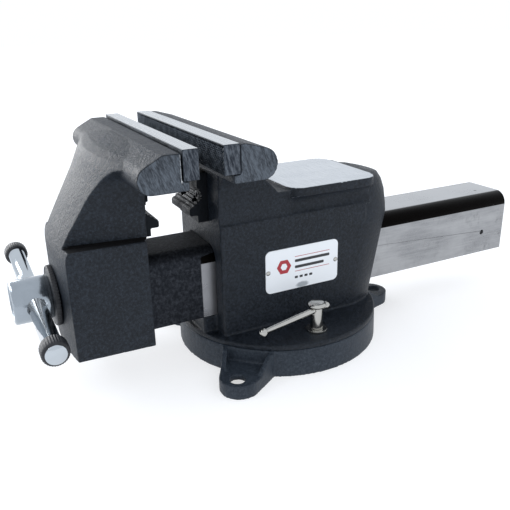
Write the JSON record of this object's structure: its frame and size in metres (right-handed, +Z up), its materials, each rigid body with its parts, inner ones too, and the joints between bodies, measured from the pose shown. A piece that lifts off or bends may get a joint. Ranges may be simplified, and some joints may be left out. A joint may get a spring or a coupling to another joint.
{
  "type": "bench vise",
  "caption": "Bench vise with a square steel slide bar, serrated jaw inserts, pipe jaws, an anvil behind the fixed jaw, a sliding handle and a swivel base with lock screws.",
  "frame": {"origin": "centre of the swivel base's underside, on the swivel axis", "axes": "+Z up, +Y from the handle toward the tail of the slide bar, +X toward the side with the nameplate"},
  "size_m": [0.2127, 0.5032, 0.2061],
  "materials": {
    "casting": "semi-matte blue-black paint over a cast surface",
    "ground_steel": "ground and oiled",
    "jaw_steel": "ground top, dark serrated face",
    "dark_steel": "black oxide",
    "chrome": "polished",
    "nickel": "bright nickel",
    "black_ring": "matte, ribbed",
    "collar": "matte black",
    "plate": "white enamel"
  },
  "bodies": {
    "base": {"swivel_base": "casting", "pivot_bolt": "dark_steel", "pivot_washer": "dark_steel"},
    "vise_body": {"body": "casting", "rear_insert": "jaw_steel", "rear_insert_pins": "dark_steel", "rear_pipe_jaw": "dark_steel", "rear_pipe_jaw_screws": "dark_steel", "spindle_nut": "dark_steel", "spindle_nut_bolt": "dark_steel", "lock_washers": "nickel", "lock_slot_nuts": "dark_steel", "nameplate": "plate", "nameplate_rivets": "nickel"},
    "jaw": {"moving_jaw": "casting", "slide_bar": "ground_steel", "front_insert": "jaw_steel", "front_insert_pins": "dark_steel", "front_pipe_jaw": "dark_steel", "front_pipe_jaw_screws": "dark_steel", "thrust_collar": "collar"},
    "screw": {"spindle": "chrome", "spindle_retainer": "dark_steel", "retainer_pin": "dark_steel"},
    "handle": {"handle_bar": "chrome", "handle_rings": "black_ring"},
    "right_lock": {"lock_screw_right": "nickel"},
    "left_lock": {"lock_screw_left": "nickel"},
    "right_lock_bar": {"lock_bar_right": "nickel"},
    "left_lock_bar": {"lock_bar_left": "nickel"}
  },
  "joints": [
    {"name": "swivel", "type": "hinge", "parent": "base", "child": "vise_body", "pos_m": [0, 0, 0.0245], "axis": [0, 0, 1], "continuous": true},
    {"name": "spindle_turn", "type": "hinge", "parent": "jaw", "child": "screw", "pos_m": [0, -0.204, 0.08], "axis": [0, -1, 0], "range_deg": [-1092, 10908]},
    {"name": "jaw_slide", "type": "slide", "parent": "vise_body", "child": "jaw", "axis": [0, -1, 0], "range_m": [-0.01821, 0.18181]},
    {"name": "handle_slide", "type": "slide", "parent": "screw", "child": "handle", "axis": [0.9989, 0, -0.0471], "range_m": [-0.0615, 0.0792]},
    {"name": "right_lock_turn", "type": "hinge", "parent": "vise_body", "child": "right_lock", "pos_m": [0.073, 0, 0.049], "axis": [0, 0, 1], "range_deg": [-14, 150]},
    {"name": "left_lock_turn", "type": "hinge", "parent": "vise_body", "child": "left_lock", "pos_m": [-0.073, 0, 0.049], "axis": [0, 0, 1], "range_deg": [-150, 14]},
    {"name": "right_lock_bar_slide", "type": "slide", "parent": "right_lock", "child": "right_lock_bar", "axis": [0.2487, -0.9686, 0], "range_m": [-0.0531, 0.0024]},
    {"name": "left_lock_bar_slide", "type": "slide", "parent": "left_lock", "child": "left_lock_bar", "axis": [-0.2487, -0.9686, 0], "range_m": [-0.0531, 0.0024]}
  ],
  "couplings": [
    {"joint": "jaw_slide", "follows": "spindle_turn", "m_per_rad": 0.00095493}
  ]
}
